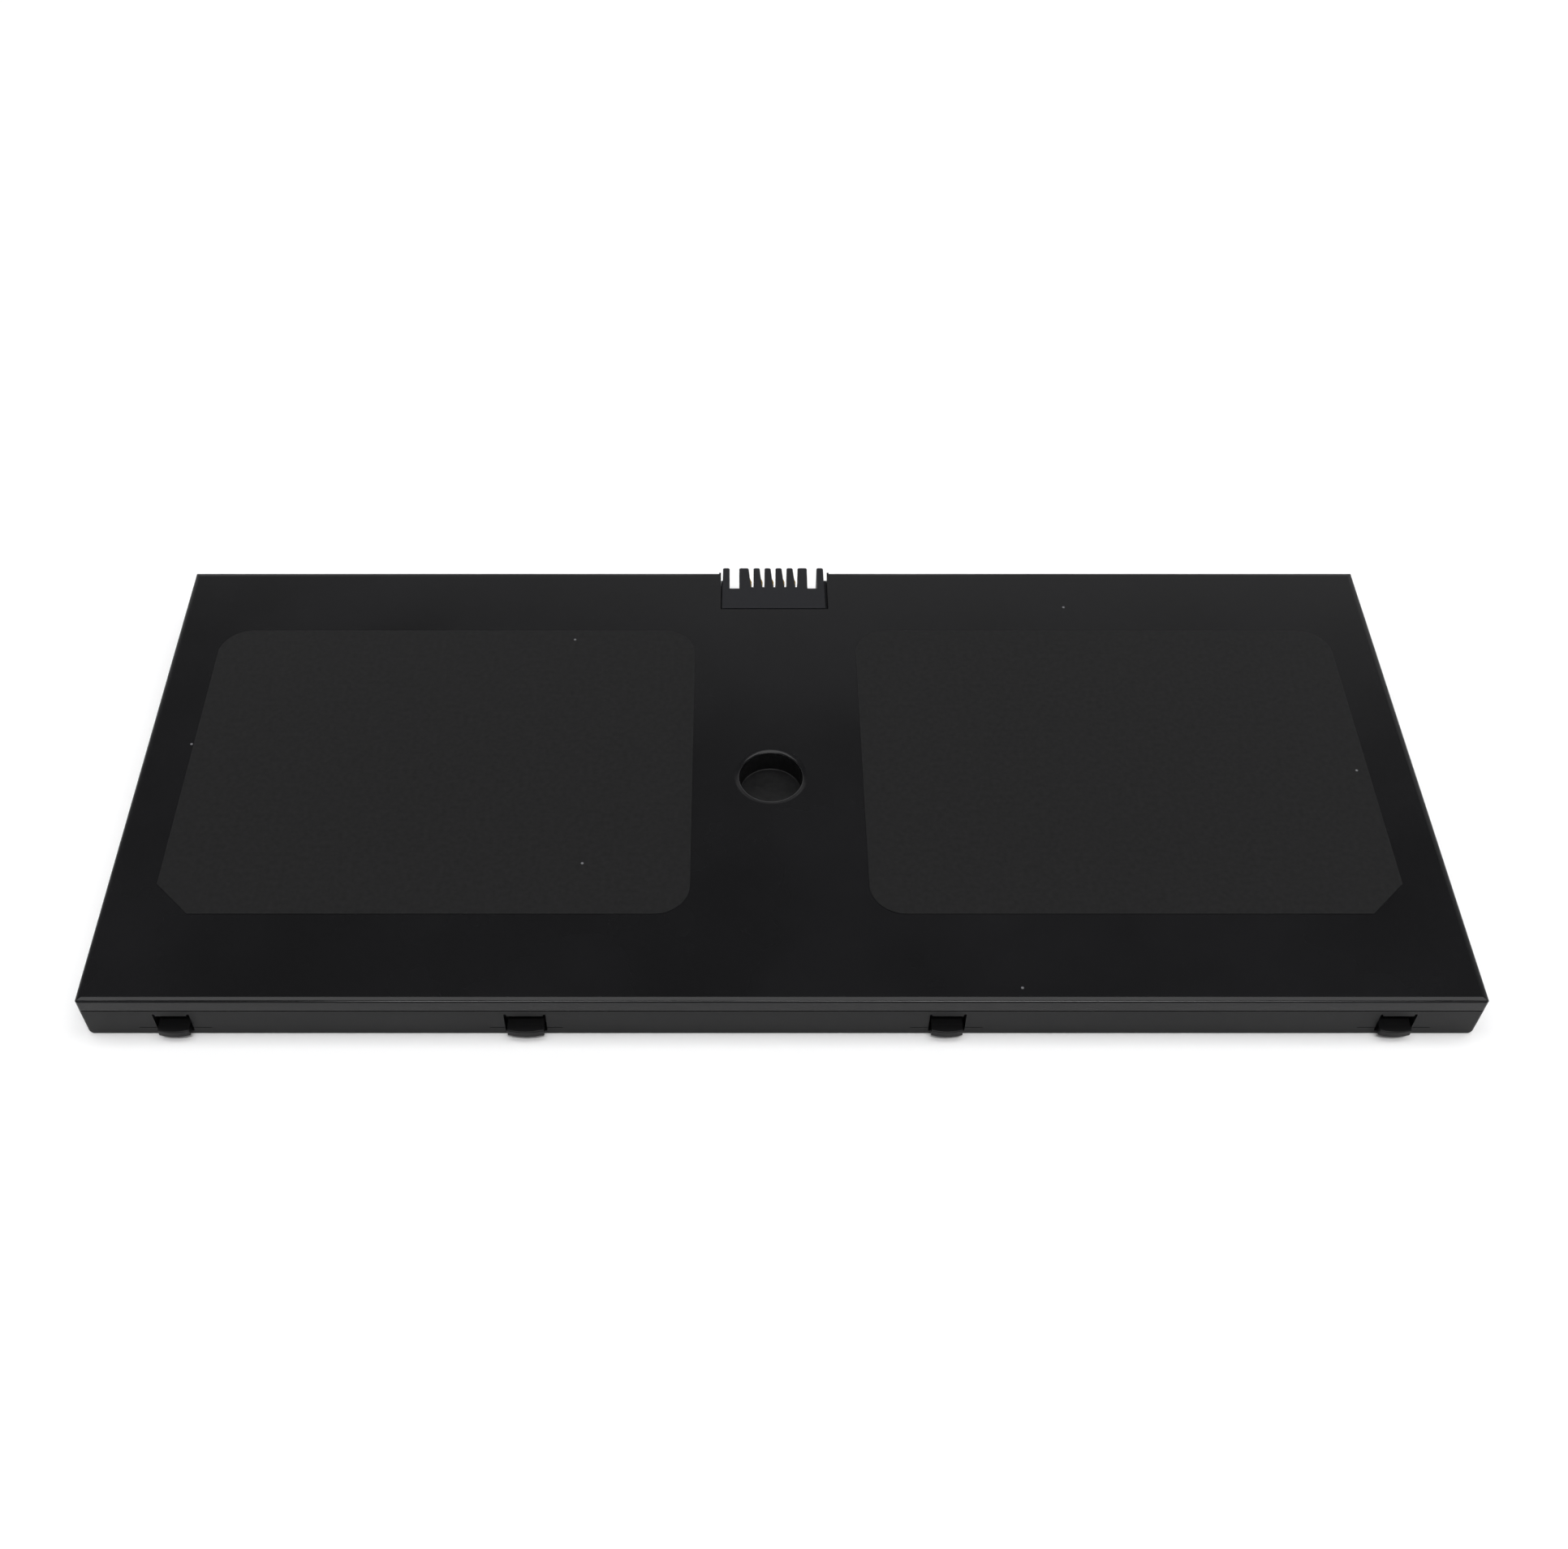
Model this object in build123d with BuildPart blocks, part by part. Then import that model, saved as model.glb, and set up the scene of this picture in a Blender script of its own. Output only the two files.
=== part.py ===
"""Flat lithium polymer laptop battery pack.

Millimetres, +Z up, +Y to the edge with the connector. The origin is the middle of the underside.
"""

import os

from build123d import *

# Case, over its outer walls
case_width = 210.0
case_depth = 93.0
case_height = 8.7
cover_height = 2.5
wall = 1.2
top_skin = 1.0
floor_skin = 0.8
corner_radius = 0.5
top_edge_width = 0.88
top_edge_drop = 0.35
bottom_edge_radius = 0.3
end_chamfer = 0.9

# Lap joint between cover and tray
parting_gap = 0.2
tongue_thickness = 0.55
tongue_height = 1.1
lap_clearance = 0.05

# Matt fields, standing a little proud of the polished top
field_relief = 0.1
field_gap = 28.0
field_side_margin = 7.75
field_front_margin = 16.1
field_back_margin = 15.0
field_outer_chamfer = 5.8
field_corner_radius = 5.5

# Round blind recess in the strip between the fields
recess_x = -1.1
recess_y = -2.3
recess_radius = 5.2
recess_depth = 4.2
recess_rim_width = 0.8
recess_rim_drop = 0.3
recess_floor_radius = 0.2
cup_skin = 0.9
post_radius = 3.5
post_skin = 1.2

# Notch in the back edge, and the connector in it
notch_width = 19.2
notch_length = 9.5
notch_flange = 0.8
notch_flange_drop = 1.6
notch_lip = 0.35
connector_front_gap = 0.35
connector_offset = -0.13
connector_width = 18.5
connector_back_width = 18.2
connector_overhang = 1.3
connector_drop = 0.1
connector_base = 1.1
rail_drop = 2.0
rail_clearance = 0.02
contact_count = 5
contact_pitch = 2.0
contact_slot_width = 0.9
contact_slot_length = 5.0
contact_slot_taper = 0.42
guide_slot_width = 1.75
guide_slot_length = 5.35
guide_fin_width = 1.7
fin_tip_radius = 0.35
ear_width = 1.4
ear_length = 2.0
ear_height = 4.2
ear_clearance = 0.1
ear_rib = 1.0

# Sprung contacts
leaf_thickness = 0.16
leaf_top_drop = 1.5
leaf_bulge = 0.22
leaf_bulge_radius = 0.8
leaf_bulge_inset = 2.1
leaf_bulge_half = 0.8
contact_clearance = 0.03
root_height = 1.2
foot_width = 0.9
foot_length = 2.2
foot_thickness = 0.25

# Hook tabs along the front wall
end_hook_inset_left = 13.5
end_hook_inset_right = 12.5
inner_hook_left = -38.5
inner_hook_right = 25.0
hook_width = 5.5
wide_hook_width = 6.3
hook_bottom = 1.1
hook_thickness = 1.4
hook_reach = 1.4
hook_end_reach = 1.05
hook_edge_radius = 0.2
pocket_roof = 1.3
pocket_depth = 1.5
pocket_skin = 0.6
pocket_draft = 8.0
hook_slot_width = 0.4
hook_slot_rise = 0.5
hook_slot_drop = 0.25
witness_length = 11.0
witness_height = 0.15
witness_depth = 0.05
witness_level = 1.8

# Ribs that divide the tray into a middle bay and four cell bays
bay_width = 27.2
rib_thickness = 0.8
rib_height = 2.2

# Circuit board on its posts
board_side_gap = 0.6
board_thickness = 1.0
board_lift = 1.55
board_recess_gap = 2.8
board_connector_gap = 0.4
board_corner_radius = 0.5
board_post_radius = 1.5
board_post_inset = 2.2

# Pouch cells
adhesive_thickness = 0.2
foam_thickness = 0.6
cell_rib_gap = 0.4
cell_side_gap = 0.6
cell_wall_gap = 1.1
cell_edge_radius = 1.2
seal_length = 4.5
seal_side_inset = 2.0
seal_thickness = 0.3
fold_thickness = 0.4
fold_height = 3.4
fold_end_inset = 3.0
adhesive_inset = 3.0
foam_inset = 8.0

# Cell tabs and the strips that join them
tab_width = 5.0
tab_length = 6.0
tab_thickness = 0.1
tab_spacing = 20.0
link_width = 4.4
link_thickness = 0.15
link_end_gap = 0.3
weld_slit_width = 0.4
weld_slit_length = 2.6
tape_width = 7.0
tape_wire_gap = 0.95
tape_thickness = 0.08
wire_diameter = 0.9
wire_gap = 0.55
wire_lap = 2.0

# Board components
chip_height = 1.0
chip_foot_length = 0.9
chip_foot_thickness = 0.2
component_gap = 1.15
gauge_length = 6.6
gauge_width = 4.4
gauge_feet = 10
gauge_pitch = 0.65
protector_length = 5.2
protector_width = 4.4
protector_feet = 8
power_chip_length = 4.9
power_chip_width = 3.9
power_feet = 4
power_pitch = 1.27
power_gap = 4.1
resistor_length = 6.3
resistor_width = 3.2
resistor_height = 0.6
terminal_length = 0.8
terminal_step = 0.08
fuse_length = 3.2
fuse_width = 2.6
fuse_height = 1.3
capacitor_length = 2.0
capacitor_width = 1.25
capacitor_height = 1.1
capacitor_count = 4
capacitor_pitch = 3.0
bead_length = 2.4
bead_diameter = 1.4
bead_lead_diameter = 0.3
bead_lead_spacing = 0.8
bead_lead_lap = 1.5

# Levels
parting_height = case_height - cover_height
rim_level = parting_height - parting_gap / 2
skirt_level = parting_height + parting_gap / 2
tongue_level = rim_level + tongue_height
ceiling = case_height - top_skin
board_level = floor_skin + board_lift
board_top = board_level + board_thickness
link_level = board_top + tab_thickness
cell_level = floor_skin + adhesive_thickness
cell_top = ceiling - foam_thickness
cup_level = case_height - recess_depth - cup_skin
hook_top = hook_bottom + hook_thickness
pocket_top = rim_level - pocket_roof
hook_slot_top = pocket_top + hook_slot_rise
hook_slot_bottom = hook_bottom - hook_slot_drop
connector_top = case_height - connector_drop
rail_level = case_height - rail_drop

# Plan positions
front_face = -case_depth / 2
back_face = case_depth / 2
inner_width = case_width - 2 * wall
inner_depth = case_depth - 2 * wall
tongue_width = inner_width + 2 * tongue_thickness
tongue_depth = inner_depth + 2 * tongue_thickness
notch_front = back_face - notch_length
connector_front = notch_front + connector_front_gap
connector_back = back_face + connector_overhang
rail_half = notch_width / 2 - rail_clearance
board_width = bay_width - 2 * board_side_gap
board_front = recess_y + recess_radius + cup_skin + board_recess_gap
board_back = connector_front - board_connector_gap
board_depth = board_back - board_front
board_middle = (board_front + board_back) / 2
seal_end = bay_width / 2 + rib_thickness + cell_rib_gap
cell_start = seal_end + seal_length
cell_end = inner_width / 2 - cell_side_gap
cell_length = cell_end - cell_start
cell_inner = rib_thickness / 2 + cell_rib_gap
cell_outer = inner_depth / 2 - cell_wall_gap
cell_width = cell_outer - cell_inner
cell_x = (cell_start + cell_end) / 2
cell_y = (cell_inner + cell_outer) / 2
inner_tab_y = cell_y - tab_spacing / 2
outer_tab_y = cell_y + tab_spacing / 2
link_x = bay_width / 2 - link_end_gap - link_width / 2

comb_steps = [i - (contact_count - 1) / 2 for i in range(contact_count)]
contact_places = [connector_offset + step * contact_pitch for step in comb_steps]
comb_half = comb_steps[-1] * contact_pitch + contact_slot_width / 2
guide_x = comb_half + guide_fin_width + guide_slot_width / 2
hooks = [
    (-case_width / 2 + end_hook_inset_left, hook_width),
    (inner_hook_left, wide_hook_width),
    (inner_hook_right, hook_width),
    (case_width / 2 - end_hook_inset_right, hook_width),
]
LOW = (Align.CENTER, Align.CENTER, Align.MIN)
LOW_FRONT = (Align.CENTER, Align.MIN, Align.MIN)
LOW_BACK = (Align.CENTER, Align.MAX, Align.MIN)

os.makedirs("parts", exist_ok=True)


def save(piece, name):
    """Label a finished piece and write it to its own file."""
    piece.part.label = name
    export_step(piece.part, f"parts/{name}.step")


def field_outline(side):
    """Outline of one matt field: a cut corner at the front end of the case, the other three round."""
    inner = side * field_gap / 2
    outer = side * (case_width / 2 - field_side_margin)
    front = front_face + field_front_margin
    back = back_face - field_back_margin
    cut = outer - side * field_outer_chamfer
    field = Polygon(
        (inner, front),
        (cut, front),
        (outer, front + field_outer_chamfer),
        (outer, back),
        (inner, back),
        align=None,
    )
    back_corners = field.vertices().group_by(Axis.Y)[-1]
    front_corner = field.vertices().sort_by_distance((inner, front))[0]
    fillet(back_corners + [front_corner], field_corner_radius)


def cover_profile(width):
    """Cross-section of the cover's outside: upright sides that round over softly to the flat top."""
    half = width / 2
    shoulder = case_height - top_edge_drop
    arc_middle = half - top_edge_width
    with BuildLine() as outline:
        Polyline((-half, shoulder), (-half, skirt_level), (half, skirt_level), (half, shoulder))
        EllipticalCenterArc((arc_middle, shoulder), top_edge_width, top_edge_drop, 0, arc_size=90)
        Line((arc_middle, case_height), (-arc_middle, case_height))
        EllipticalCenterArc((-arc_middle, shoulder), top_edge_width, top_edge_drop, 90, arc_size=90)
    make_face(outline.edges())


def recess_profile():
    """Half of the recess's section, from its axis out: floor, upright wall and a rim that rounds over."""
    recess_floor = case_height - recess_depth
    floor_edge = recess_radius - recess_floor_radius
    wall_foot = recess_floor + recess_floor_radius
    wall_head = case_height - recess_rim_drop
    rim_edge = recess_radius + recess_rim_width
    clear_level = case_height + wall
    with BuildLine() as outline:
        Line((0, recess_floor), (floor_edge, recess_floor))
        CenterArc((floor_edge, wall_foot), recess_floor_radius, -90, 90)
        Line((recess_radius, wall_foot), (recess_radius, wall_head))
        EllipticalCenterArc((rim_edge, wall_head), recess_rim_width, recess_rim_drop, 90, arc_size=90)
        Polyline((rim_edge, case_height), (rim_edge, clear_level), (0, clear_level), (0, recess_floor))
    make_face(outline.edges())


# Top cover
with BuildPart() as top_cover:
    with BuildSketch(Plane.XY.offset(skirt_level)):
        RectangleRounded(case_width, case_depth, corner_radius)
    extrude(amount=case_height - skirt_level)
    with BuildSketch(Plane.XZ.offset(-back_face)):
        cover_profile(case_width)
    extrude(amount=case_depth, mode=Mode.INTERSECT)
    with BuildSketch(Plane.YZ.offset(-case_width / 2)):
        cover_profile(case_depth)
    extrude(amount=case_width, mode=Mode.INTERSECT)
    with BuildSketch(Plane.XY.offset(skirt_level)):
        RectangleRounded(inner_width, inner_depth, corner_radius)
    extrude(amount=ceiling - skirt_level, mode=Mode.SUBTRACT)
    # Rebate that laps round the tray's tongue
    with BuildSketch(Plane.XY.offset(skirt_level)):
        RectangleRounded(tongue_width + 2 * lap_clearance, tongue_depth + 2 * lap_clearance, corner_radius)
    extrude(amount=tongue_level - skirt_level, mode=Mode.SUBTRACT)
    # Flange round the connector notch, full-height lips beside it at the back edge, then the notch itself
    with BuildSketch(Plane.XY.offset(ceiling - notch_flange_drop)):
        with Locations((0, notch_front - notch_flange)):
            Rectangle(
                notch_width + 2 * notch_flange,
                notch_length + notch_flange - wall,
                align=(Align.CENTER, Align.MIN),
            )
    extrude(amount=notch_flange_drop)
    with Locations((0, back_face, case_height)):
        with GridLocations(notch_width + notch_lip, 0, 2, 1):
            Box(notch_lip, top_edge_width, top_edge_drop, align=(Align.CENTER, Align.MAX, Align.MAX))
    with Locations((0, notch_front, 0)):
        Box(notch_width, notch_length + wall, case_height + wall, align=LOW_FRONT, mode=Mode.SUBTRACT)
    # Cup of the round recess
    with Locations((recess_x, recess_y, cup_level)):
        Cylinder(recess_radius + cup_skin, ceiling - cup_level, align=LOW)
    with BuildSketch(Plane(origin=(recess_x, recess_y, 0), x_dir=(1, 0, 0), z_dir=(0, -1, 0))):
        recess_profile()
    revolve(axis=Axis((recess_x, recess_y, 0), (0, 0, 1)), mode=Mode.SUBTRACT)
    # Matt fields
    for field_side in (-1, 1):
        with BuildSketch(Plane.XY.offset(case_height)):
            field_outline(field_side)
        extrude(amount=field_relief)
save(top_cover, "top_cover")


def hook_shelf_outline(x, width):
    """Shelf of a hook between its two slots, rooted in the wall and bowed along its front edge."""
    half = width / 2 - hook_slot_width
    root = front_face + wall / 2
    with BuildLine() as outline:
        Polyline(
            (x - half, front_face - hook_end_reach),
            (x - half, root),
            (x + half, root),
            (x + half, front_face - hook_end_reach),
        )
        ThreePointArc(
            (x - half, front_face - hook_end_reach),
            (x, front_face - hook_reach),
            (x + half, front_face - hook_end_reach),
        )
    make_face(outline.edges())


# Bottom tray, its lower edges cut along the two ends and rounded along the front and back
with BuildPart() as bottom_tray:
    with BuildSketch():
        RectangleRounded(case_width, case_depth, corner_radius)
    extrude(amount=rim_level)
    with BuildSketch(Plane.XZ.offset(-back_face)):
        Polygon(
            (-case_width / 2, end_chamfer),
            (-case_width / 2 + end_chamfer, 0),
            (case_width / 2 - end_chamfer, 0),
            (case_width / 2, end_chamfer),
            (case_width / 2, rim_level),
            (-case_width / 2, rim_level),
            align=None,
        )
    extrude(amount=case_depth, mode=Mode.INTERSECT)
    with BuildSketch(Plane.YZ.offset(-case_width / 2)):
        end_view = Rectangle(case_depth, rim_level, align=(Align.CENTER, Align.MIN))
        fillet(end_view.vertices().group_by(Axis.Y)[0], bottom_edge_radius)
    extrude(amount=case_width, mode=Mode.INTERSECT)
    with BuildSketch(Plane.XY.offset(floor_skin)):
        RectangleRounded(inner_width, inner_depth, corner_radius)
    extrude(amount=rim_level - floor_skin, mode=Mode.SUBTRACT)
    # Tongue along the rim
    with BuildSketch(Plane.XY.offset(rim_level)):
        RectangleRounded(tongue_width, tongue_depth, corner_radius)
        RectangleRounded(inner_width, inner_depth, corner_radius, mode=Mode.SUBTRACT)
    extrude(amount=tongue_height)
    # Back wall open for the connector, the tongue also for the cover's flange
    with Locations((0, back_face, floor_skin)):
        Box(notch_width, 3 * wall, case_height, align=LOW, mode=Mode.SUBTRACT)
    with Locations((0, back_face, rim_level)):
        Box(
            notch_width + 2 * (notch_flange + lap_clearance),
            3 * wall,
            case_height,
            align=LOW,
            mode=Mode.SUBTRACT,
        )
    # Ribs between the bays
    with BuildSketch(Plane.XY.offset(floor_skin)):
        with Locations((-(bay_width + rib_thickness) / 2, 0), ((bay_width + rib_thickness) / 2, 0)):
            Rectangle(rib_thickness, inner_depth)
        Rectangle(inner_width, rib_thickness)
        Rectangle(bay_width, 2 * rib_thickness, mode=Mode.SUBTRACT)
    extrude(amount=rib_height)
    # Posts under the recess and the circuit board
    with BuildSketch(Plane.XY.offset(floor_skin)):
        with Locations((recess_x, recess_y)):
            Circle(post_radius)
            Circle(post_radius - post_skin, mode=Mode.SUBTRACT)
    extrude(amount=cup_level - floor_skin)
    with BuildSketch(Plane.XY.offset(floor_skin)):
        with Locations((0, board_middle)):
            with GridLocations(board_width - 2 * board_post_inset, board_depth - 2 * board_post_inset, 2, 2):
                Circle(board_post_radius)
    extrude(amount=board_lift)
    # Pairs of ribs that hold the connector's ears
    with BuildSketch(Plane.XY.offset(floor_skin)):
        ear_rib_x = rail_half + ear_clearance + ear_width / 2
        ear_rib_offset = ear_length / 2 + ear_clearance + ear_rib / 2
        with Locations((0, connector_front + ear_rib + ear_clearance + ear_length / 2)):
            with GridLocations(2 * ear_rib_x, 2 * ear_rib_offset, 2, 2):
                Rectangle(ear_width, ear_rib)
    extrude(amount=ear_height)
    # Hooks: a thicker wall, the mould's witness line, the pocket with a slot down each side, and the shelf
    for hook_x, width in hooks:
        with Locations((hook_x, front_face + wall / 2, floor_skin)):
            Box(
                width + 2 * pocket_skin,
                pocket_depth + pocket_skin - wall / 2,
                hook_slot_top + pocket_skin - floor_skin,
                align=LOW_FRONT,
            )
        with Locations((hook_x, front_face, witness_level)):
            Box(witness_length, 2 * witness_depth, witness_height, mode=Mode.SUBTRACT)
        with BuildSketch(Plane.XZ.offset(-front_face)):
            with Locations((hook_x, (hook_top + pocket_top) / 2)):
                Rectangle(width, pocket_top - hook_top)
        extrude(amount=-pocket_depth, taper=pocket_draft, mode=Mode.SUBTRACT)
        with BuildSketch(Plane.XZ.offset(-front_face)):
            with Locations((hook_x, (hook_slot_bottom + hook_slot_top) / 2)):
                with GridLocations(width - hook_slot_width, 0, 2, 1):
                    SlotOverall(hook_slot_top - hook_slot_bottom, hook_slot_width, rotation=90)
        extrude(amount=-pocket_depth, mode=Mode.SUBTRACT)
        with BuildSketch(Plane.XY.offset(hook_bottom)):
            hook_shelf_outline(hook_x, width)
        extrude(amount=hook_thickness)
    lip_edges = bottom_tray.edges().filter_by(
        lambda edge: edge.geom_type == GeomType.CIRCLE and edge.center().Y < front_face - hook_end_reach
    )
    fillet(lip_edges, hook_edge_radius)
save(bottom_tray, "bottom_tray")


# Connector housing: a comb with five contact slots between two wider guide slots
slot_floor = floor_skin + connector_base
slot_end = connector_back - contact_slot_length
leaf_top = connector_top - leaf_top_drop


def slot_wall(y):
    """Place of a contact slot's slanted left wall, from the slot's middle."""
    return -contact_slot_width / 2 + contact_slot_taper * (connector_back - y) / contact_slot_length


def leaf_side(y):
    """Place of a contact's leaf along that wall, from the slot's middle."""
    return slot_wall(y) + contact_clearance + leaf_thickness / 2


def contact_slot_outline(x):
    """One contact slot, open at the back and narrowed by its left wall towards the root."""
    Polygon(
        (x + slot_wall(connector_back), connector_back),
        (x + slot_wall(slot_end), slot_end),
        (x + contact_slot_width / 2, slot_end),
        (x + contact_slot_width / 2, connector_back),
        align=None,
    )


with BuildPart() as connector_housing:
    with BuildSketch(Plane.XY.offset(floor_skin)):
        Polygon(
            (connector_offset - connector_width / 2, connector_front),
            (connector_offset + connector_width / 2, connector_front),
            (connector_offset + connector_back_width / 2, connector_back),
            (connector_offset - connector_back_width / 2, connector_back),
            align=None,
        )
    extrude(amount=connector_top - floor_skin)
    # Side rails that fill the notch below the comb
    with Locations((0, connector_front, floor_skin)):
        Box(2 * rail_half, back_face - connector_front, rail_level - floor_skin, align=LOW_FRONT)
    with BuildSketch(Plane.XY.offset(slot_floor)):
        for x in contact_places:
            contact_slot_outline(x)
        with Locations((connector_offset, connector_back)):
            with GridLocations(2 * guide_x, 0, 2, 1):
                Rectangle(guide_slot_width, 2 * guide_slot_length)
    extrude(amount=connector_top - slot_floor, mode=Mode.SUBTRACT)
    tips = connector_housing.edges().filter_by(Axis.Z).group_by(Axis.Y)[-1]
    fillet(tips, fin_tip_radius)
    # Channels that the contacts' roots pass through
    for x in contact_places:
        with Locations((x + leaf_side(slot_end), connector_front, board_top - contact_clearance)):
            Box(
                leaf_thickness + 2 * contact_clearance,
                slot_end + contact_clearance - connector_front,
                leaf_top + 2 * contact_clearance - board_top,
                align=LOW_FRONT,
                mode=Mode.SUBTRACT,
            )
    # Ears that seat between the tray's ribs
    ear_y = connector_front + ear_rib + ear_clearance
    with Locations((-rail_half, ear_y, floor_skin), (rail_half, ear_y, floor_skin)):
        Box(2 * (ear_clearance + ear_width), ear_length, ear_height, align=LOW_FRONT)
save(connector_housing, "connector_housing")


# Sprung contacts: a soldered foot, a root through the housing and a bowed leaf along the slot's wall
bulge_y = connector_back - leaf_bulge_inset
bulge_start = bulge_y - leaf_bulge_half
bulge_end = bulge_y + leaf_bulge_half
for number, x in enumerate(contact_places, start=1):
    root_x = x + leaf_side(slot_end)
    with BuildPart() as contact:
        with BuildSketch(Plane.XY.offset(board_top)):
            with BuildLine():
                FilletPolyline(
                    (root_x, connector_front + contact_clearance),
                    (root_x, slot_end),
                    (x + leaf_side(bulge_start), bulge_start),
                    (x + leaf_side(bulge_y) + leaf_bulge, bulge_y),
                    (x + leaf_side(bulge_end), bulge_end),
                    radius=leaf_bulge_radius,
                )
            trace(line_width=leaf_thickness)
        extrude(amount=leaf_top - board_top)
        with Locations((root_x, connector_front + foot_length / 2, board_top)):
            Box(leaf_thickness, foot_length + board_connector_gap, root_height, align=LOW_BACK)
        with Locations((root_x, board_back, board_top)):
            Box(foot_width, foot_length, foot_thickness, align=LOW_BACK)
    save(contact, f"contact_{number}")


# Circuit board
with BuildPart() as circuit_board:
    with BuildSketch(Plane.XY.offset(board_level)):
        with Locations((0, board_middle)):
            RectangleRounded(board_width, board_depth, board_corner_radius)
    extrude(amount=board_thickness)
save(circuit_board, "circuit_board")


def lay_chip(x, y, length, width, feet, pitch):
    """One chip on the board: a moulded body with a row of feet along each long side."""
    with Locations((x, y, 0)):
        Box(length, width, chip_height, align=LOW)
        with GridLocations(pitch, width + chip_foot_length, feet, 2):
            Box(pitch / 2, chip_foot_length, chip_foot_thickness, align=LOW)


def lay_block(x, y, length, width, height):
    """One two-ended component: a body between two slightly larger metal ends."""
    with Locations((x, y, 0)):
        Box(length, width, height, align=LOW)
        with GridLocations(length - terminal_length, 0, 2, 1):
            Box(terminal_length, width + 2 * terminal_step, height + terminal_step, align=LOW)


# Board components, in rows from the recess towards the connector and in two columns between the tabs
column_x = seal_end - tab_length - component_gap - resistor_length / 2
row_depths = [
    capacitor_width,
    protector_width + 2 * chip_foot_length,
    gauge_width + 2 * chip_foot_length,
    power_chip_width + 2 * chip_foot_length,
    fuse_width,
]
row_gap = (board_depth - foot_length - sum(row_depths)) / (len(row_depths) + 1)
component_rows = []
row_edge = board_front
for row_depth in row_depths:
    component_rows.append(row_edge + row_gap + row_depth / 2)
    row_edge += row_gap + row_depth
capacitor_row, first_row, gauge_row, power_row, fuse_row = component_rows

with BuildPart(Plane.XY.offset(board_top)) as capacitors:
    for i in range(capacitor_count):
        capacitor_x = (i - (capacitor_count - 1) / 2) * capacitor_pitch
        lay_block(capacitor_x, capacitor_row, capacitor_length, capacitor_width, capacitor_height)
save(capacitors, "capacitors")

with BuildPart(Plane.XY.offset(board_top)) as protector_chip:
    lay_chip(-column_x, first_row, protector_length, protector_width, protector_feet, gauge_pitch)
save(protector_chip, "protector_chip")

with BuildPart(Plane.XY.offset(board_top)) as sense_resistor:
    lay_block(column_x, first_row, resistor_length, resistor_width, resistor_height)
save(sense_resistor, "sense_resistor")

with BuildPart(Plane.XY.offset(board_top)) as gauge_chip:
    lay_chip(0, gauge_row, gauge_length, gauge_width, gauge_feet, gauge_pitch)
save(gauge_chip, "gauge_chip")

with BuildPart(Plane.XY.offset(board_top)) as power_transistors:
    power_offset = (power_gap + power_chip_length) / 2
    for power_x in (-power_offset, power_offset):
        lay_chip(power_x, power_row, power_chip_length, power_chip_width, power_feet, power_pitch)
save(power_transistors, "power_transistors")

with BuildPart(Plane.XY.offset(board_top)) as chip_fuse:
    lay_block(0, fuse_row, fuse_length, fuse_width, fuse_height)
save(chip_fuse, "chip_fuse")


# Cells with their tabs, tape and foam, one set in each corner bay
for end, end_sign in (("front", -1), ("back", 1)):
    for side, side_sign in (("left", -1), ("right", 1)):
        place = f"{end}_{side}"
        middle = (side_sign * cell_x, end_sign * cell_y)
        with BuildPart() as cell:
            with BuildSketch(Plane.YZ.offset(side_sign * cell_x - cell_length / 2)):
                with Locations((end_sign * cell_y, (cell_level + cell_top) / 2)):
                    RectangleRounded(cell_width - 2 * fold_thickness, cell_top - cell_level, cell_edge_radius)
            extrude(amount=cell_length)
            # Sealed end that the tabs come out of
            with BuildSketch(Plane.XY.offset(board_top + tab_thickness / 2 - seal_thickness / 2)):
                with Locations((side_sign * (seal_end + cell_x) / 2, end_sign * cell_y)):
                    Rectangle(cell_x - seal_end, cell_width - 2 * seal_side_inset)
            extrude(amount=seal_thickness)
            # Folded side seams
            with BuildSketch(Plane.XY.offset((cell_level + cell_top - fold_height) / 2)):
                with Locations(middle):
                    Rectangle(cell_length - 2 * fold_end_inset, cell_width)
            extrude(amount=fold_height)
        save(cell, f"cell_{place}")

        with BuildPart() as adhesive:
            with BuildSketch(Plane.XY.offset(floor_skin)):
                with Locations(middle):
                    Rectangle(cell_length - 2 * adhesive_inset, cell_width - 2 * adhesive_inset)
            extrude(amount=adhesive_thickness)
        save(adhesive, f"adhesive_{place}")

        with BuildPart() as foam:
            with BuildSketch(Plane.XY.offset(cell_top)):
                with Locations(middle):
                    Rectangle(cell_length - 2 * foam_inset, cell_width - 2 * foam_inset)
            extrude(amount=foam_thickness)
        save(foam, f"foam_{place}")

        # The series order puts the plus tab outside in two cells and inside in the other two
        plus_outside = side_sign == end_sign
        plus_y = outer_tab_y if plus_outside else inner_tab_y
        minus_y = inner_tab_y if plus_outside else outer_tab_y
        for pole, tab_y in (("plus", plus_y), ("minus", minus_y)):
            with BuildPart() as tab:
                with BuildSketch(Plane.XY.offset(board_top)):
                    with Locations((side_sign * (seal_end - tab_length / 2), end_sign * tab_y)):
                        Rectangle(tab_length, tab_width)
                extrude(amount=tab_thickness)
            save(tab, f"{pole}_tab_{place}")


# Nickel strips welded over the tabs, slit at each weld
side_link_length = 2 * inner_tab_y + tab_width
for side, side_sign in (("left", -1), ("right", 1)):
    with BuildPart() as side_link:
        with BuildSketch(Plane.XY.offset(link_level)):
            with Locations((side_sign * link_x, 0)):
                Rectangle(link_width, side_link_length)
                with GridLocations(0, side_link_length - weld_slit_length, 1, 2):
                    Rectangle(weld_slit_width, weld_slit_length, mode=Mode.SUBTRACT)
        extrude(amount=link_thickness)
    save(side_link, f"link_{side}")

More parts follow.
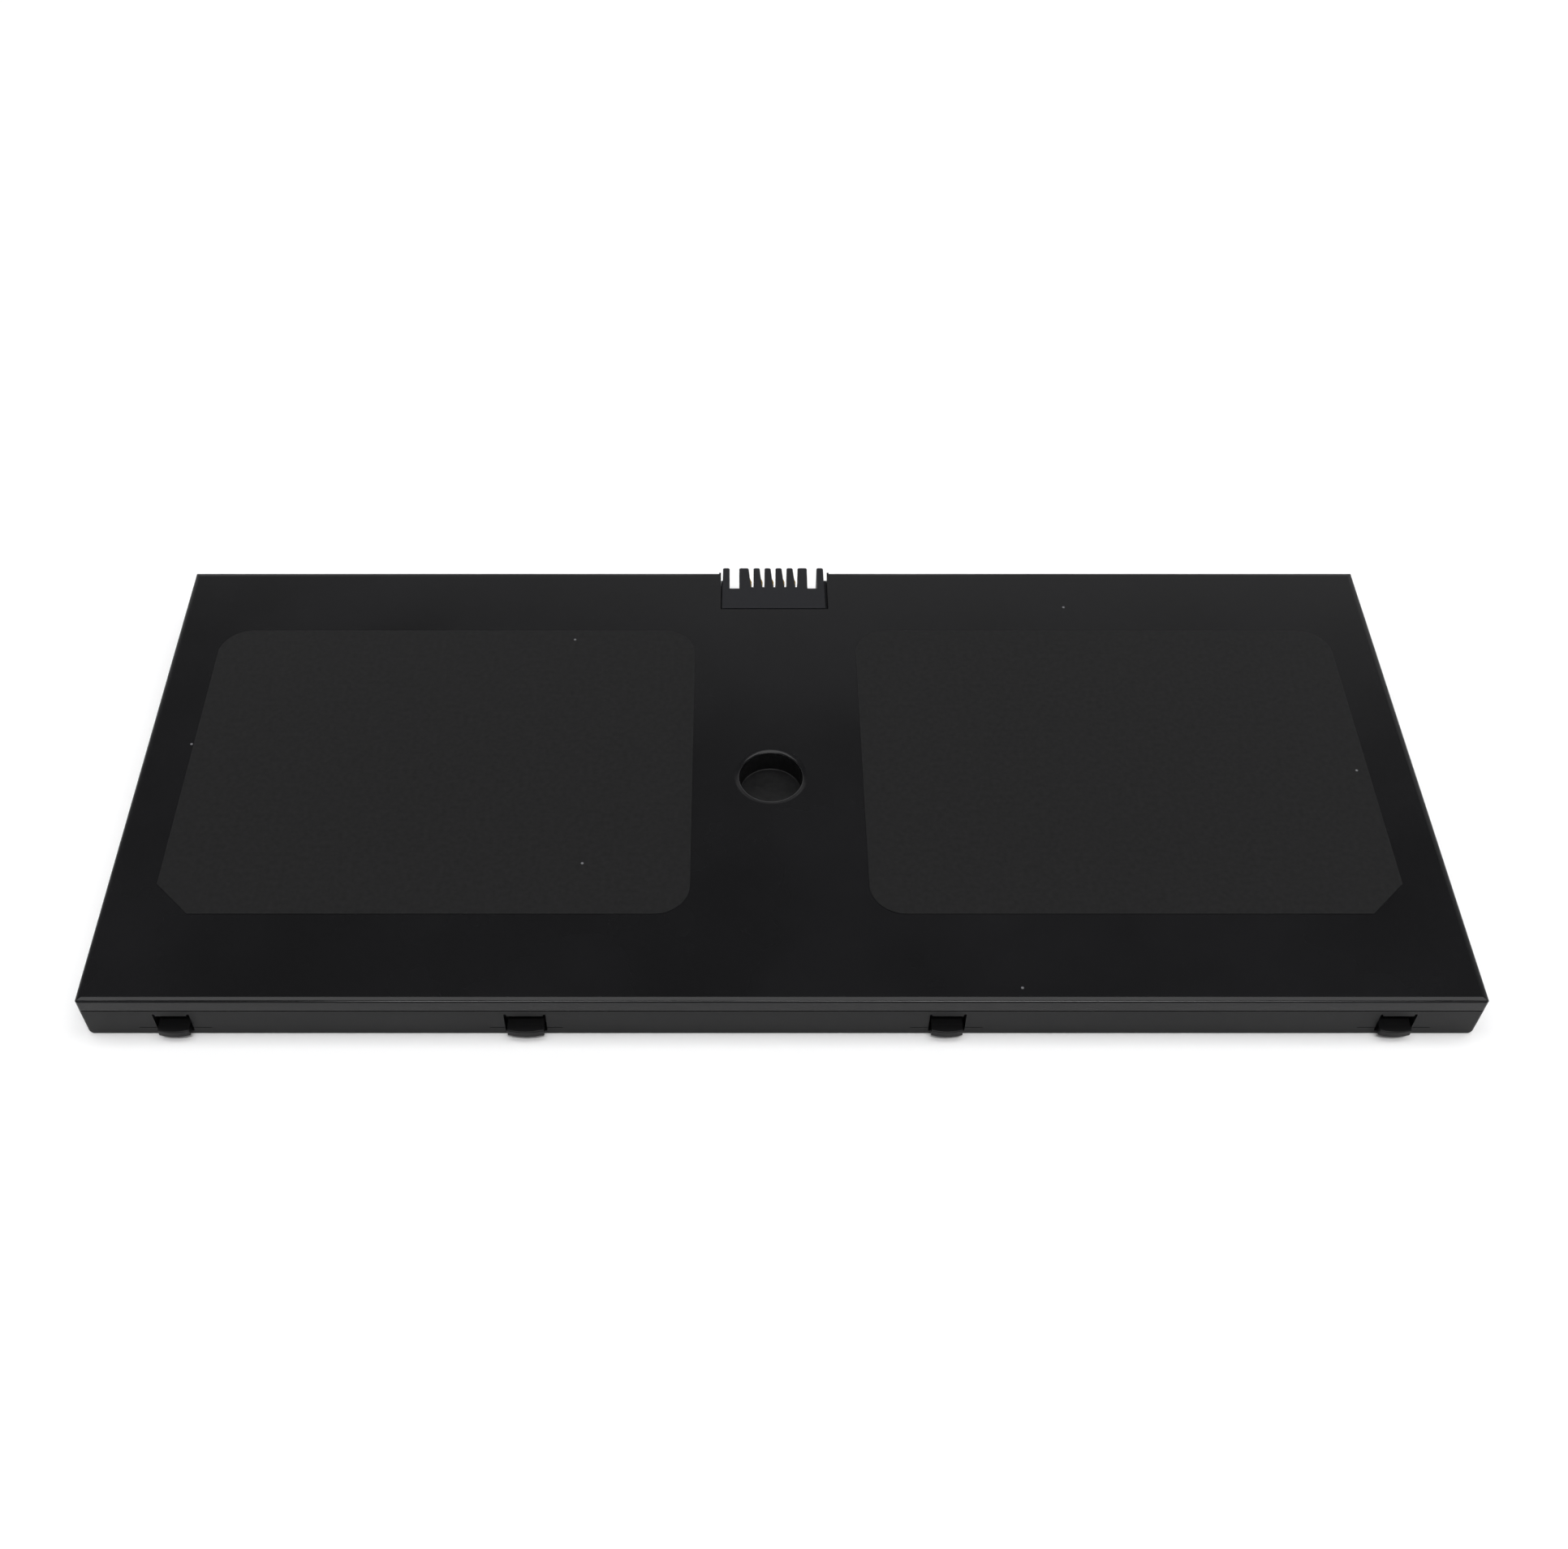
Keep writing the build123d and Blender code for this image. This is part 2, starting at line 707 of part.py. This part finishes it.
front_link_length = 2 * link_x + link_width
with BuildPart() as front_link:
    with BuildSketch(Plane.XY.offset(link_level)):
        with Locations((0, -outer_tab_y)):
            Rectangle(front_link_length, link_width)
            with GridLocations(front_link_length - weld_slit_length, 0, 2, 1):
                Rectangle(weld_slit_length, weld_slit_width, mode=Mode.SUBTRACT)
    extrude(amount=link_thickness)
save(front_link, "link_front")

# Tape over the middle of the front strip, clear of the sense wire
link_top = link_level + link_thickness
wire_x = link_x - link_width / 2 - wire_gap - wire_diameter / 2
tape_length = 2 * (wire_x - wire_diameter / 2 - tape_wire_gap)
with BuildPart() as front_link_tape:
    with BuildSketch(Plane.XY.offset(link_top)):
        with Locations((0, -outer_tab_y)):
            Rectangle(tape_length, tape_width)
    extrude(amount=tape_thickness)
save(front_link_tape, "front_link_tape")

# Sense wire from the front strip, past the recess, to the board
with BuildPart() as sense_wire:
    with BuildSketch(Plane.XZ.offset(outer_tab_y + wire_diameter)):
        with Locations((wire_x, link_top + wire_diameter / 2)):
            Circle(wire_diameter / 2)
    extrude(amount=-(board_front + wire_lap + outer_tab_y + wire_diameter))
save(sense_wire, "sense_wire")

# Thermistor: a bead on a cell's sealed end, with two leads to the board
bead_level = board_top + (tab_thickness + seal_thickness) / 2 + bead_diameter / 2
bead_end = seal_end + bead_length + cell_rib_gap
bead_lead_start = board_width / 2 - bead_lead_lap
with BuildPart() as thermistor:
    with BuildSketch(Plane.YZ.offset(bead_end - bead_length)):
        with Locations((cell_y, bead_level)):
            Circle(bead_diameter / 2)
    extrude(amount=bead_length)
    chamfer(thermistor.edges().filter_by(GeomType.CIRCLE), bead_diameter / 4)
    with BuildSketch(Plane.YZ.offset(bead_lead_start)):
        with Locations((cell_y, bead_level - bead_diameter / 2 + bead_lead_diameter)):
            with GridLocations(bead_lead_spacing, 0, 2, 1):
                Circle(bead_lead_diameter / 2)
    extrude(amount=bead_end - bead_length / 2 - bead_lead_start)
save(thermistor, "thermistor")
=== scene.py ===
"""Looks of a flat laptop battery pack: finishes, floor, light and camera round its solids.

Metres, in the frame of the solids: +X to the right, +Y to the edge with the connector, +Z up.
"""

import math

import bmesh
import bpy
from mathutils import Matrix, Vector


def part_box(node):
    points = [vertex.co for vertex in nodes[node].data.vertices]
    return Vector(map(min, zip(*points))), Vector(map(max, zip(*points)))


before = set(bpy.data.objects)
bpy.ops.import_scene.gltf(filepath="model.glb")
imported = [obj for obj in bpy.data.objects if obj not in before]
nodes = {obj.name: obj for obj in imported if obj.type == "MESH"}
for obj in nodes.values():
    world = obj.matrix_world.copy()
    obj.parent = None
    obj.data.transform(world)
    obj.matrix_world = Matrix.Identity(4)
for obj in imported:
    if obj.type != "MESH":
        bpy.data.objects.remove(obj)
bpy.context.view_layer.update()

MM = 0.001
MICRON = 0.000001


class Finish:
    """A procedural material, put together on a piece's own coordinates."""

    def __init__(self, name, **plain):
        self.material = bpy.data.materials.new(name)
        self.material.use_nodes = True
        self.tree = self.material.node_tree
        self.shader = self.tree.nodes["Principled BSDF"]
        self.place = self.node("ShaderNodeTexCoord").outputs["Object"]
        for socket, value in plain.items():
            self.set(socket.replace("_", " "), value)

    def feed(self, socket, value):
        """Give an input a plain value or another node's output."""
        if isinstance(value, bpy.types.NodeSocket):
            self.tree.links.new(value, socket)
        else:
            socket.default_value = value

    def set(self, socket, value):
        """Give the shader one of its values."""
        self.feed(self.shader.inputs[socket], value)

    def node(self, kind, inputs=None, **settings):
        """Add a node with its settings and inputs."""
        made = self.tree.nodes.new(kind)
        for name, value in settings.items():
            setattr(made, name, value)
        for key, value in (inputs or {}).items():
            self.feed(made.inputs[key], value)
        return made

    def noise(self, size, detail=2.0, stretch=(1, 1, 1)):
        """Cloudy noise with features of the given size, drawn out where stretch is small."""
        place = self.node("ShaderNodeMapping", {"Vector": self.place, "Scale": stretch}).outputs["Vector"]
        cloud = self.node("ShaderNodeTexNoise", {"Vector": place, "Scale": 1 / size, "Detail": detail})
        return cloud.outputs["Fac"]

    def cells(self, size, dimensions="3D"):
        """Distance to the nearest of scattered points, in steps of the given size."""
        points = {"Vector": self.place, "Scale": 1 / size}
        return self.node("ShaderNodeTexVoronoi", points, voronoi_dimensions=dimensions).outputs["Distance"]

    def spread(self, value, low, high, start=0.3, end=0.7):
        """A value between start and end, carried over to low and high."""
        ends = {"Value": value, "From Min": start, "From Max": end, "To Min": low, "To Max": high}
        return self.node("ShaderNodeMapRange", ends).outputs["Result"]

    def combine(self, operation, first, second):
        """Two values put together."""
        return self.node("ShaderNodeMath", {0: first, 1: second}, operation=operation).outputs[0]

    def tones(self, value, dark, light):
        """A colour between two tones."""
        ramp = self.node("ShaderNodeValToRGB", {"Fac": value})
        ramp.color_ramp.elements[0].color = (*dark, 1)
        ramp.color_ramp.elements[1].color = (*light, 1)
        return ramp.outputs["Color"]

    def mix(self, share, first, second):
        """Two colours mixed by a share."""
        return self.node("ShaderNodeMixRGB", {"Fac": share, "Color1": first, "Color2": second}).outputs["Color"]

    def axis(self, letter):
        """One of the piece's own coordinates."""
        return self.node("ShaderNodeSeparateXYZ", {"Vector": self.place}).outputs[letter]

    def relief(self, height, depth):
        """Fine surface relief of a given depth."""
        bump = self.node("ShaderNodeBump", {"Height": height, "Distance": depth})
        self.set("Normal", bump.outputs["Normal"])


def dress(finish, *names):
    """Put a finish on the named solids."""
    for name in names:
        nodes[name].data.materials.clear()
        nodes[name].data.materials.append(finish.material)


def dress_each(finish, start):
    """Put a finish on every solid whose name starts alike."""
    dress(finish, *[name for name in nodes if name.startswith(start)])


# Cover: polished black plastic, with two fields of fine spark-eroded grain that stand a little proud
field_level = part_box("top_cover")[1][2]
field_relief = 0.1 * MM
polished_level = field_level - field_relief
mask_edge = 0.03 * MM
recess_centre = (-1.1 * MM, -2.3 * MM, 0)
recess_radius = 5.25 * MM
recess_rim = 0.6 * MM
polished_dark = (0.0056, 0.0056, 0.0061)
polished_light = (0.0076, 0.0076, 0.0084)
matt_dark = (0.0044, 0.0044, 0.0047)
matt_light = (0.0086, 0.0086, 0.0090)
dust_tone = (0.16, 0.16, 0.17, 1)
dust_spacing = 60 * MM
# Size of a speck, in steps of the spacing
speck_core = 0.0024
speck_edge = 0.0043


def recess_mask(plastic):
    """Share of matt surface inside the round recess, below its polished rim."""
    from_above = {0: plastic.place, 1: (1, 1, 0)}
    flat = plastic.node("ShaderNodeVectorMath", from_above, operation="MULTIPLY").outputs["Vector"]
    ends = {0: flat, 1: recess_centre}
    reach = plastic.node("ShaderNodeVectorMath", ends, operation="DISTANCE").outputs["Value"]
    inside = plastic.spread(reach, 1, 0, recess_radius, recess_radius + mask_edge)
    matt_level = polished_level - recess_rim
    below = plastic.spread(plastic.axis("Z"), 1, 0, matt_level, matt_level + mask_edge)
    return plastic.combine("MULTIPLY", inside, below)


def cover_finish():
    """Polished plastic with a faint haze and dust, matt on the two raised fields and in the recess."""
    plastic = Finish("cover_plastic", IOR=1.30)
    raised = plastic.spread(plastic.axis("Z"), 0, 1, polished_level + mask_edge, field_level - mask_edge)
    matt = plastic.combine("MAXIMUM", raised, recess_mask(plastic))
    haze = plastic.noise(size=26 * MM, detail=4)
    grain = plastic.noise(size=0.16 * MM, detail=3)
    mottle = plastic.noise(size=0.8 * MM, detail=4)
    polished_roughness = plastic.spread(haze, low=0.13, high=0.20)
    matt_roughness = plastic.spread(grain, low=0.36, high=0.44)
    roughness = plastic.node(
        "ShaderNodeMix",
        {"Factor": matt, "A": polished_roughness, "B": matt_roughness},
        data_type="FLOAT",
    ).outputs[0]
    polished_tone = plastic.tones(plastic.spread(haze, 0, 1), polished_dark, polished_light)
    matt_tone = plastic.tones(plastic.spread(mottle, 0, 1), matt_dark, matt_light)
    specks = plastic.spread(plastic.cells(dust_spacing, "2D"), 1, 0, speck_core, speck_edge)
    on_top = plastic.spread(plastic.axis("Z"), 0, 1, polished_level - mask_edge, polished_level)
    dust = plastic.combine("MULTIPLY", specks, on_top)
    tone = plastic.mix(matt, polished_tone, matt_tone)
    plastic.set("Base Color", plastic.mix(dust, tone, dust_tone))
    plastic.set("Roughness", roughness)
    plastic.relief(plastic.combine("MULTIPLY", grain, matt), depth=5 * MICRON)
    return plastic


dress(cover_finish(), "top_cover")


# Tray: satin black plastic
def tray_finish():
    """Satin plastic with a fine grain and faint flow marks along the wall."""
    plastic = Finish("tray_plastic", IOR=1.25)
    grain = plastic.noise(size=0.2 * MM, detail=3)
    flow = plastic.noise(size=9 * MM, detail=3, stretch=(0.3, 1, 1))
    tone = plastic.tones(flow, dark=(0.0045, 0.0045, 0.0048), light=(0.0062, 0.0062, 0.0066))
    plastic.set("Base Color", tone)
    plastic.set("Roughness", plastic.spread(flow, low=0.34, high=0.42))
    plastic.relief(grain, depth=4 * MICRON)
    return plastic


dress(tray_finish(), "bottom_tray")


# Connector: glass-filled nylon with gold-plated contacts
def connector_finish():
    """Matt bluish-black nylon, its glass fibres drawn out along the slots."""
    nylon = Finish("connector_nylon", IOR=1.26)
    fibres = nylon.noise(size=0.22 * MM, detail=3, stretch=(1, 0.25, 1))
    tone = nylon.tones(fibres, dark=(0.0105, 0.0108, 0.0130), light=(0.0145, 0.0148, 0.0172))
    nylon.set("Base Color", tone)
    nylon.set("Roughness", nylon.spread(fibres, low=0.42, high=0.52))
    nylon.relief(fibres, depth=6 * MICRON)
    return nylon


def contact_finish():
    """Gold plating over a rolled spring strip, its colour darkened as painted shade."""
    gold = Finish("contact_gold", Metallic=1.0)
    rolled = gold.noise(size=0.12 * MM, detail=3, stretch=(1, 0.08, 1))
    # The gold tones sit darker than clean gold: painted shade for the contacts deep in their slots.
    gold.set("Base Color", gold.tones(rolled, dark=(0.46, 0.32, 0.10), light=(0.66, 0.48, 0.19)))
    gold.set("Roughness", gold.spread(rolled, low=0.2, high=0.34))
    gold.relief(rolled, depth=2 * MICRON)
    return gold


dress(connector_finish(), "connector_housing")
dress_each(contact_finish(), "contact_")

# Circuit board and its components
weave_step = 0.4 * MM
track_step = 2.5 * MM
track_tone = (0.022, 0.115, 0.040, 1)
tin_tone = (0.62, 0.62, 0.60, 1)
tin_edge = 10 * MICRON
roughness_swing = 0.06


def board_finish():
    """Green solder mask over copper tracks and a woven laminate."""
    laminate = Finish("board_laminate", IOR=1.5)
    weave = laminate.node(
        "ShaderNodeTexChecker",
        {"Vector": laminate.place, "Scale": 1 / weave_step},
    ).outputs["Fac"]
    tracks = laminate.node(
        "ShaderNodeTexBrick",
        {"Vector": laminate.place, "Scale": 1 / track_step, "Mortar Size": 0.06, "Mortar Smooth": 0.2},
    ).outputs["Fac"]
    mask_tone = laminate.tones(weave, dark=(0.008, 0.052, 0.024), light=(0.010, 0.060, 0.028))
    laminate.set("Base Color", laminate.mix(tracks, mask_tone, track_tone))
    laminate.set("Roughness", laminate.spread(laminate.noise(size=3 * MM), low=0.25, high=0.4))
    laminate.relief(tracks, depth=25 * MICRON)
    return laminate


def component_finish(name, letter, repeat, body, tone, roughness):
    """A moulded body between tinned ends, repeated along one axis with the bodies centred in each step."""
    part = Finish(name)
    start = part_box(name)[0]["XYZ".index(letter)]
    along = part.combine("SUBTRACT", part.axis(letter), start)
    from_edge = part.combine("PINGPONG", along, repeat / 2)
    end_width = (repeat - body) / 2
    tinned = part.spread(from_edge, 1, 0, end_width - tin_edge, end_width + tin_edge)
    speckle = part.noise(size=0.08 * MM, detail=3)
    darker = tuple(0.75 * channel for channel in tone)
    part.set("Base Color", part.mix(tinned, part.tones(speckle, darker, tone), tin_tone))
    part.set("Metallic", tinned)
    part.set("Roughness", part.spread(speckle, roughness - roughness_swing, roughness + roughness_swing))
    part.relief(speckle, depth=4 * MICRON)
    return part


def box_side(name, axis):
    """Length of a solid along one axis."""
    low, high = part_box(name)
    return high[axis] - low[axis]


resin_tone = (0.014, 0.014, 0.015)
chip_foot = 0.9 * MM
for chip in ("gauge_chip", "protector_chip", "power_transistors"):
    chip_depth = box_side(chip, 1)
    chip_body = chip_depth - 2 * chip_foot
    dress(component_finish(chip, "Y", chip_depth, chip_body, resin_tone, roughness=0.5), chip)

terminal = 0.8 * MM
resistor_tone = (0.018, 0.018, 0.020)
fuse_tone = (0.30, 0.28, 0.22)
for block, block_tone in (("sense_resistor", resistor_tone), ("chip_fuse", fuse_tone)):
    block_length = box_side(block, 0)
    block_body = block_length - 2 * terminal
    dress(component_finish(block, "X", block_length, block_body, block_tone, roughness=0.35), block)

capacitor_pitch = 3.0 * MM
capacitor_body = 0.4 * MM
capacitor_tone = (0.24, 0.17, 0.10)
capacitor_finish = component_finish(
    "capacitors", "X", capacitor_pitch, capacitor_body, capacitor_tone, roughness=0.35
)
dress(capacitor_finish, "capacitors")
dress(board_finish(), "circuit_board")


# Cells and what joins them
def pouch_finish():
    """Dull silver laminate foil with a faint embossed crinkle."""
    foil = Finish("pouch_foil", Metallic=0.85)
    crinkle = foil.noise(size=1.6 * MM, detail=4)
    foil.set("Base Color", foil.tones(crinkle, dark=(0.50, 0.51, 0.53), light=(0.62, 0.63, 0.65)))
    foil.set("Roughness", foil.spread(crinkle, low=0.32, high=0.46))
    foil.relief(crinkle, depth=30 * MICRON)
    return foil


def strip_finish(name, dark, light, stretch):
    """Rolled metal strip with its rolling marks."""
    strip = Finish(name, Metallic=1.0)
    rolled = strip.noise(size=0.3 * MM, detail=3, stretch=stretch)
    strip.set("Base Color", strip.tones(rolled, dark, light))
    strip.set("Roughness", strip.spread(rolled, low=0.28, high=0.42))
    strip.relief(rolled, depth=3 * MICRON)
    return strip


def soft_finish(name, size, dark, light, roughness, depth):
    """Tape, insulation or resin with a fine uneven surface."""
    soft = Finish(name)
    uneven = soft.noise(size, detail=4)
    soft.set("Base Color", soft.tones(uneven, dark, light))
    soft.set("Roughness", soft.spread(uneven, roughness - roughness_swing, roughness + roughness_swing))
    soft.relief(uneven, depth)
    return soft


def foam_finish():
    """Dark closed-cell foam with fine pores."""
    foam = Finish("foam_pad", Roughness=0.95)
    pores = foam.cells(size=0.45 * MM)
    foam.set("Base Color", foam.tones(pores, dark=(0.020, 0.020, 0.022), light=(0.060, 0.060, 0.064)))
    foam.relief(pores, depth=120 * MICRON)
    return foam


nickel_dark = (0.52, 0.50, 0.46)
nickel_light = (0.66, 0.64, 0.60)
aluminium_dark = (0.72, 0.73, 0.74)
aluminium_light = (0.84, 0.85, 0.86)
rolled_along_x = (0.05, 1, 1)
rolled_along_y = (1, 0.05, 1)
dress_each(pouch_finish(), "cell_")
dress_each(strip_finish("nickel_side_strip", nickel_dark, nickel_light, rolled_along_y), "link_")
dress(strip_finish("nickel_front_strip", nickel_dark, nickel_light, rolled_along_x), "link_front")
dress_each(strip_finish("nickel_tab", nickel_dark, nickel_light, rolled_along_x), "minus_tab_")
dress_each(strip_finish("aluminium_tab", aluminium_dark, aluminium_light, rolled_along_x), "plus_tab_")
dress_each(foam_finish(), "foam_")

adhesive_finish = soft_finish(
    "adhesive_tape",
    size=0.8 * MM,
    dark=(0.66, 0.64, 0.56),
    light=(0.76, 0.74, 0.66),
    roughness=0.6,
    depth=8 * MICRON,
)
amber_finish = soft_finish(
    "amber_tape",
    size=2 * MM,
    dark=(0.42, 0.17, 0.02),
    light=(0.52, 0.23, 0.03),
    roughness=0.25,
    depth=10 * MICRON,
)
wire_finish = soft_finish(
    "wire_cover",
    size=0.4 * MM,
    dark=(0.42, 0.02, 0.015),
    light=(0.50, 0.03, 0.02),
    roughness=0.4,
    depth=6 * MICRON,
)
bead_finish = soft_finish(
    "bead_resin",
    size=0.3 * MM,
    dark=(0.016, 0.014, 0.012),
    light=(0.024, 0.021, 0.018),
    roughness=0.3,
    depth=5 * MICRON,
)
dress_each(adhesive_finish, "adhesive_")
dress(amber_finish, "front_link_tape")
dress(wire_finish, "sense_wire")
dress(bead_finish, "thermistor")

# Floor with a rising edge, real under the object and plain white further out
floor_radius = 2.5
floor_rise = 1.2
floor_sides = 96
shadow_reach = 0.3
plain_from = 0.8


def floor_finish():
    """White floor that keeps the object's shadow and shows as plain white away from it."""
    floor = Finish("floor_white", Roughness=0.9, Specular_IOR_Level=0.1)
    speckle = floor.noise(size=40 * MM, detail=2)
    tone = floor.tones(speckle, dark=(0.965, 0.965, 0.968), light=(0.975, 0.975, 0.978))
    floor.set("Base Color", tone)
    distance = floor.node("ShaderNodeVectorMath", {0: floor.place}, operation="LENGTH").outputs["Value"]
    away = floor.spread(distance, 0, 1, shadow_reach, plain_from)
    path = floor.node("ShaderNodeLightPath")
    seen = floor.combine("MAXIMUM", path.outputs["Is Camera Ray"], path.outputs["Is Glossy Ray"])
    seen = floor.combine("MAXIMUM", seen, path.outputs["Is Transmission Ray"])
    white = floor.node("ShaderNodeEmission", {"Color": (1, 1, 1, 1), "Strength": 1.0})
    shown = floor.node("ShaderNodeMixShader", {0: floor.combine("MULTIPLY", away, seen)})
    floor.tree.links.new(floor.shader.outputs["BSDF"], shown.inputs[1])
    floor.tree.links.new(white.outputs["Emission"], shown.inputs[2])
    floor.tree.links.new(shown.outputs["Shader"], floor.tree.nodes["Material Output"].inputs["Surface"])
    return floor


shape = bmesh.new()
bmesh.ops.create_circle(shape, cap_ends=True, segments=floor_sides, radius=floor_radius)
edge_ring = [edge for edge in shape.edges if edge.is_boundary]
raised_edge = bmesh.ops.extrude_edge_only(shape, edges=edge_ring)
rim = [item for item in raised_edge["geom"] if isinstance(item, bmesh.types.BMVert)]
bmesh.ops.translate(shape, verts=rim, vec=(0, 0, floor_rise))
floor_mesh = bpy.data.meshes.new("floor")
shape.to_mesh(floor_mesh)
shape.free()
floor_mesh.materials.append(floor_finish().material)
floor = bpy.data.objects.new("floor", floor_mesh)
bpy.context.scene.collection.objects.link(floor)


# Light: a narrow softbox high in front, a wide one overhead, and a room that is bright low at the back
def hang_softbox(name, width, depth, watts, place, tilt):
    """Hang a softbox that faces down, tilted towards the object by an angle in degrees."""
    light = bpy.data.lights.new(name, "AREA")
    light.shape = "RECTANGLE"
    light.size = width
    light.size_y = depth
    light.energy = watts
    softbox = bpy.data.objects.new(name, light)
    softbox.location = place
    softbox.rotation_euler = (math.radians(tilt), 0, 0)
    softbox.visible_camera = False
    bpy.context.scene.collection.objects.link(softbox)


hang_softbox("front_softbox", width=1.32, depth=0.3, watts=21.0, place=(0.145, -0.95, 2.0), tilt=25)
hang_softbox("overhead_softbox", width=2.8, depth=0.85, watts=24.5, place=(0.1, 0.2, 2.0), tilt=0)

room = bpy.data.worlds.new("room")
room.use_nodes = True
room_nodes = room.node_tree.nodes
room_links = room.node_tree.links
# Degrees from the horizon at the back, over the top, to the horizon in front, each with its tone
room_tones = [
    (0, 0.10),
    (29, 0.15),
    (36, 0.95),
    (41, 0.95),
    (44.5, 0.58),
    (48, 0.24),
    (52, 0.12),
    (58, 0.17),
    (180, 0.25),
]
# Radians by which the tones lie lower at the far left
left_drop = 0.24


def room_step(operation, *values):
    """One step of arithmetic on the direction in which the room is seen."""
    step = room_nodes.new("ShaderNodeMath")
    step.operation = operation
    for socket, value in zip(step.inputs, values):
        if isinstance(value, bpy.types.NodeSocket):
            room_links.new(value, socket)
        else:
            socket.default_value = value
    return step.outputs[0]


direction = room_nodes.new("ShaderNodeTexCoord")
parts = room_nodes.new("ShaderNodeSeparateXYZ")
room_links.new(direction.outputs["Generated"], parts.inputs["Vector"])
climb = room_step("ARCTAN2", parts.outputs["Z"], parts.outputs["Y"])
left = room_step("MINIMUM", parts.outputs["X"], 0.0)
leaning_climb = room_step("MULTIPLY_ADD", left, -left_drop, climb)
half_turns = room_step("DIVIDE", leaning_climb, math.pi)
shade = room_nodes.new("ShaderNodeValToRGB")
while len(shade.color_ramp.elements) < len(room_tones):
    shade.color_ramp.elements.new(1.0)
for element, (degrees, tone) in zip(shade.color_ramp.elements, room_tones):
    element.position = degrees / 180
    element.color = (tone, tone, tone, 1)
room_links.new(half_turns, shade.inputs["Fac"])
room_links.new(shade.outputs["Color"], room_nodes["Background"].inputs["Color"])
bpy.context.scene.world = room

# Camera at the photograph's angle, for a frame of 1932 by 1908
camera_data = bpy.data.cameras.new("camera")
camera_data.sensor_width = 36.0
camera_data.lens = 41.41
camera_data.shift_x = 0.0293
camera_data.clip_start = 0.01
camera_data.clip_end = 20.0
camera = bpy.data.objects.new("camera", camera_data)
camera.location = (-6.5 * MM, -195.79 * MM, 232.97 * MM)
camera.rotation_euler = (math.radians(40.83), 0, 0)
bpy.context.scene.collection.objects.link(camera)
bpy.context.scene.camera = camera
bpy.context.scene.view_settings.view_transform = "Standard"

# Bring the scene up to date
bpy.context.view_layer.update()
